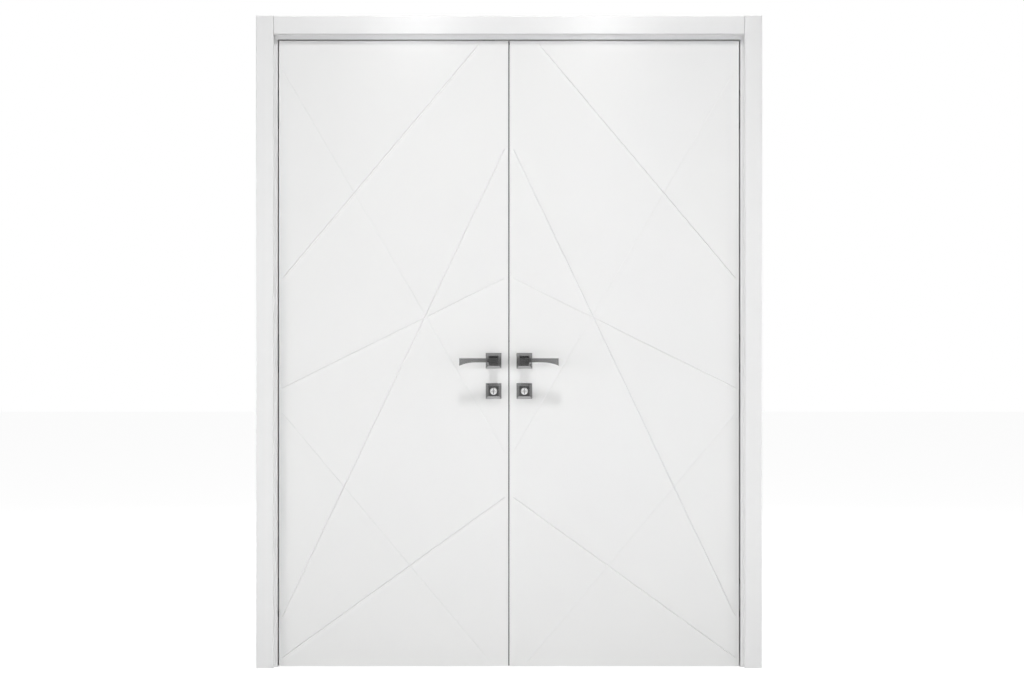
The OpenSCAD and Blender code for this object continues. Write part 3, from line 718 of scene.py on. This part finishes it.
wing_low = on_axis(TURN_AXIS, rim_y - KNOB_DOME - WING_H, -WING_W / 2, -WING_REACH)
wing = block("wing", wing_low, on_axis(TURN_AXIS, rim_y + 2 * OVERLAP, WING_W / 2, WING_REACH))
ease_edges(wing, WING_EASE)
collar_start = on_axis(TURN_AXIS, knob_back - OVERLAP)
collar = drum("collar", TURN_BORE_R - RUNNING_FIT, collar_start, on_axis(TURN_AXIS, FACE_Y - OVERLAP))
spindle_low = on_axis(TURN_AXIS, FACE_Y - 2 * OVERLAP, -SPINDLE_HALF, -SPINDLE_HALF)
spindle_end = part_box("right_thumb_turn")[1].y
spindle = block("spindle", spindle_low, on_axis(TURN_AXIS, spindle_end, SPINDLE_HALF, SPINDLE_HALF))
right_turn = join("right_thumb_turn_knob", knob, wing, collar, spindle)
left_turn = copy_of(right_turn, "left_thumb_turn_knob", TO_LEFT)
for side, piece in (("left", left_turn), ("right", right_turn)):
    dress(piece, knob_nickel, side + "_turn", "nickel", side + "_thumb_turn", smooth=25)
print("thumb turn faces:", len(right_turn.data.polygons))

# %% [markdown]
# The hinges, the face plates, the rod guides and the keep are screwed in. One screw is modelled in
# three sizes: a low drum with a domed head, and a cross recess cut by two crossed blocks. A thread
# would never be seen, so there is none.

# %% One screw
SCREW_SUNK = 0.0004
SCREW_RIM = 0.0002
SCREW_DOME = ((0.86, 0.00030), (0.70, 0.00018))
CROSS_LONG = 0.52
CROSS_WIDE = 0.15
CROSS_TOP = 0.002


def screw_head(radius):
    head = drum("screw", radius, (0, 0, -SCREW_SUNK), (0, 0, SCREW_RIM), sides=24)
    pick(head, "FACE", lambda c, n: n.z > 0.9)
    for share, rise in SCREW_DOME:
        push(z=rise)
        bpy.ops.transform.resize(value=(share, share, 1), center_override=(0, 0, 0))
    bpy.ops.object.mode_set(mode="OBJECT")
    arm, width = CROSS_LONG * radius, CROSS_WIDE * radius
    for x, y in ((width, arm), (arm, width)):
        carve(head, block("cutter", (-x, -y, 0.0), (x, y, CROSS_TOP)))
    return head


hinge_screw = screw_head(0.0036)
plate_screw = screw_head(0.0034)
guide_screw = screw_head(0.0028)
print("screw faces:", len(hinge_screw.data.polygons))

# %% [markdown]
# The screw is then copied to each place with its head towards the open side, and every copy gets its
# own turn, as real screws have. The screws of one fitting are joined as one set, which rides the
# frame or the leaf that the fitting is let into.

# %% Screws in hinges and plates
SCREW_TURN = 37
HINGE_H = 0.130
HINGE_SCREWS = (0.0465, 0.0570)
PLATE_SCREW_IN = 0.010
PLATES = {"left": "left_strike_plate", "right": "right_face_plate"}

low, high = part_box("right_frame_cups")
hinge_z = [low.z + HINGE_H / 2, (low.z + high.z) / 2, high.z - HINGE_H / 2]
cup_z = [z + end * off for z in hinge_z for end in (-1, 1) for off in HINGE_SCREWS]


def screws(name, body, head, places):
    """Copies a screw to (point, outward direction) places and joins them as one set."""
    copies = []
    for index, (point, outward) in enumerate(places):
        turn = Vector((0, 0, 1)).rotation_difference(Vector(outward)).to_matrix().to_4x4()
        spin = Matrix.Rotation(math.radians(SCREW_TURN * index), 4, "Z")
        copies.append(copy_of(head, name, Matrix.Translation(point) @ turn @ spin))
    dress(join(name, *copies), screw_steel, body, "lock_steel", smooth=30)
    return len(places)


def cup_screws(node, body, outward):
    low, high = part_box(node)
    mouth = low.x if outward < 0 else high.x
    places = [((mouth, (low.y + high.y) / 2, z), (outward, 0, 0)) for z in cup_z]
    return screws(node + "_screws", body, hinge_screw, places)


def plate_screws(node, body, outward):
    low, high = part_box(node)
    face = low.x if outward < 0 else high.x
    ends = (low.z + PLATE_SCREW_IN, high.z - PLATE_SCREW_IN)
    places = [((face, LEAF_MID_Y, z), (outward, 0, 0)) for z in ends]
    return screws(node + "_screws", body, plate_screw, places)


count = 0
for side, way in (("left", -1), ("right", 1)):
    count += cup_screws(side + "_frame_cups", "frame", -way)
    count += cup_screws(side + "_leaf_cups", side + "_leaf", way)
    count += plate_screws(PLATES[side], side + "_leaf", -way)
print("screws in hinges and plates:", count)

# %% [markdown]
# The keep in the head and the guides of the two rods are small plates with a hole in the middle, so
# each has a screw at either end. When these are placed, the three pattern screws are removed.

# %% Screws in the keep and the rod guides
GUIDE_HALF = 0.020
GUIDE_SCREWS = (-0.014, 0.014)


def either_end(x, z, up):
    return [((x + dx, LEAF_MID_Y, z), (0, 0, up)) for dx in GUIDE_SCREWS]


low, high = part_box("head_keep")
count += screws("head_keep_screws", "frame", guide_screw, either_end((low.x + high.x) / 2, low.z, -1))
low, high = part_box("left_rod_guides")
places = either_end(low.x + GUIDE_HALF, high.z, 1) + either_end(high.x - GUIDE_HALF, low.z, -1)
count += screws("left_rod_guide_screws", "left_leaf", guide_screw, places)
for pattern in (hinge_screw, plate_screw, guide_screw):
    bpy.data.objects.remove(pattern)
print("screws in all:", count)

# %% [markdown]
# The studio has a pale floor. The camera sees it as nearly plain white, through Light Path, so the
# white costs no light on the doors, and the floor still darkens a little where the object shades it.
# In the metal it shows as a painted pool of light, glowing white near the doors and fading further out,
# where the sky's picture takes over.

# %% Floor
FLOOR_W = 40
FADE_R = 1.6

ready()
bpy.ops.mesh.primitive_plane_add(size=FLOOR_W, location=(0, 0, 0))
floor = bpy.context.active_object
floor.name = "studio_floor"
pale = Finish("pale_floor")
pale.tree.nodes.remove(pale.shader)
x, y, _ = pale.axes(pale.place)
# painted pool of light: in the metal the floor glows white near the doors and fades with distance
painted_pool_of_light = (1.0 + (x * x + y * y) * (1 / FADE_R**2)) ** -2.0
mirrored = pale.node("ShaderNodeLightPath", out="Is Glossy Ray") * painted_pool_of_light
through = pale.node("ShaderNodeLightPath", out="Is Transmission Ray")
seen = (pale.node("ShaderNodeLightPath", out="Is Camera Ray") + through + mirrored).at_most_one()
lit = pale.node("ShaderNodeBsdfDiffuse", sockets={"Color": (0.80, 0.80, 0.80, 1)})
faint = pale.node("ShaderNodeBsdfDiffuse", sockets={"Color": (0.32, 0.32, 0.32, 1)})
glow = pale.node("ShaderNodeEmission", sockets={"Color": (1, 1, 1, 1), "Strength": 0.86})
white = pale.node("ShaderNodeAddShader", sockets={0: faint, 1: glow})
result = pale.node("ShaderNodeMixShader", sockets={"Fac": seen, 1: lit, 2: white})
feed(pale.tree, pale.tree.nodes["Material Output"].inputs["Surface"], result)
floor.data.materials.append(pale.material)
print("floor:", tuple(round(side) for side in floor.dimensions))

# %% [markdown]
# The sky is three things at once. The camera sees plain white, the painted faces get an even fill,
# and the metal mirrors a picture of its own: bright at the sides and above, brightest in a ring around
# the view, and dark straight ahead, like the unlit end of a studio behind the camera. A polished plate
# shows only what stands before it, so that dark end is what gives the nickel its depth.

# %% Sky
WHITE = (1, 1, 1, 1)
FILL = 0.33
SIDES_TO_AHEAD = [(0.0, 0.80), (0.50, 0.62), (0.70, 0.95), (0.90, 0.85), (0.965, 0.30), (1.0, 0.07)]

world = bpy.data.worlds.new("studio")
world.use_nodes = True
bpy.context.scene.world = world
sky = Wiring(world.node_tree)
depth = sky.axes(sky.node("ShaderNodeTexCoord", out="Generated"))[1]
picture = sky.node("ShaderNodeValToRGB", {"stops": SIDES_TO_AHEAD}, {"Fac": abs(depth)})
reflected = sky.node("ShaderNodeBackground", sockets={"Color": picture, "Strength": 1.0})
ambient = sky.node("ShaderNodeBackground", sockets={"Color": WHITE, "Strength": FILL})
plain_white = sky.node("ShaderNodeBackground", sockets={"Color": WHITE, "Strength": 1.0})
through = sky.node("ShaderNodeLightPath", out="Is Transmission Ray")
in_view = (sky.node("ShaderNodeLightPath", out="Is Camera Ray") + through).at_most_one()
shown = sky.node("ShaderNodeMixShader", sockets={"Fac": in_view, 1: ambient, 2: plain_white})
mirrored = sky.node("ShaderNodeLightPath", out="Is Glossy Ray")
whole = sky.node("ShaderNodeMixShader", sockets={"Fac": mirrored, 1: shown, 2: reflected})
feed(sky.tree, sky.tree.nodes["World Output"].inputs["Surface"], whole)
print("sky: plain white, fill", FILL, "and a mirrored picture")

# %% [markdown]
# The leaves are flat and nearly white, so the light has to draw them. A tall soft strip far out on
# each side grazes the front: it puts one side of every routed line in shade and lets the casings
# shade the hinge edges. A narrow spread keeps it on the doors. A softer lamp on each side fills the
# upper half, and a tiny one close to the head gives each of the two bright places on its casing.


# %% Side lamps
def soft_lamp(name, place, target, size, watts, spread=180):
    ready()
    bpy.ops.object.light_add(type="AREA", location=place)
    lamp = bpy.context.active_object
    lamp.name = name
    lamp.data.shape = "RECTANGLE"
    lamp.data.size, lamp.data.size_y = size
    lamp.data.energy = watts
    lamp.data.spread = math.radians(spread)
    lamp.rotation_euler = (Vector(target) - Vector(place)).to_track_quat("-Z", "Y").to_euler()
    lamp.visible_camera = False
    lamp.visible_glossy = False


for side in (-1, 1):
    soft_lamp(
        "strip_lamp",
        place=(4.6 * side, -1.75, 0.56),
        target=(0.66 * side, FACE_Y, 0.56),
        size=(0.9, 1.7),
        watts=2.7,
        spread=20,
    )
    soft_lamp(
        "upper_lamp",
        place=(2.2 * side, -2.60, 1.80),
        target=(0.52 * side, FACE_Y, 1.76),
        size=(0.4, 0.8),
        watts=0.92,
        spread=38,
    )
    soft_lamp(
        "head_lamp",
        place=(0.296 * side, FACE_Y - 0.20, 2.12),
        target=(0.296 * side, FACE_Y, 2.08),
        size=(0.05, 0.05),
        watts=0.074,
    )

# %% [markdown]
# Four lamps stand in the middle. A low wide one lifts the bottom, a small high one throws the shadow
# of each lever downwards, a thin one evens the top of the meeting edges, and one behind lights the
# back for other views. No lamp shows in the metal, which mirrors the sky's picture.

# %% Middle lamps
soft_lamp("low_lamp", place=(0.0, -1.60, 0.30), target=(0.0, FACE_Y, 0.20), size=(2.4, 0.3), watts=3.1)
soft_lamp("high_lamp", place=(0.0, -2.40, 6.20), target=(0.0, FACE_Y, 1.00), size=(0.5, 0.5), watts=151.0)
soft_lamp(
    "top_wash_lamp", place=(0.0, -0.55, 1.78), target=(0.0, FACE_Y, 1.78), size=(1.0, 0.1), watts=0.34
)
soft_lamp("back_lamp", place=(0.0, 3.9, 3.2), target=(0.0, 0.0, 1.2), size=(2.6, 1.2), watts=80.0)

# %% [markdown]
# The view transform is set to Standard, so a colour comes out as it was written.

# %% Colour
bpy.context.scene.view_settings.view_transform = "Standard"
bpy.context.view_layer.update()
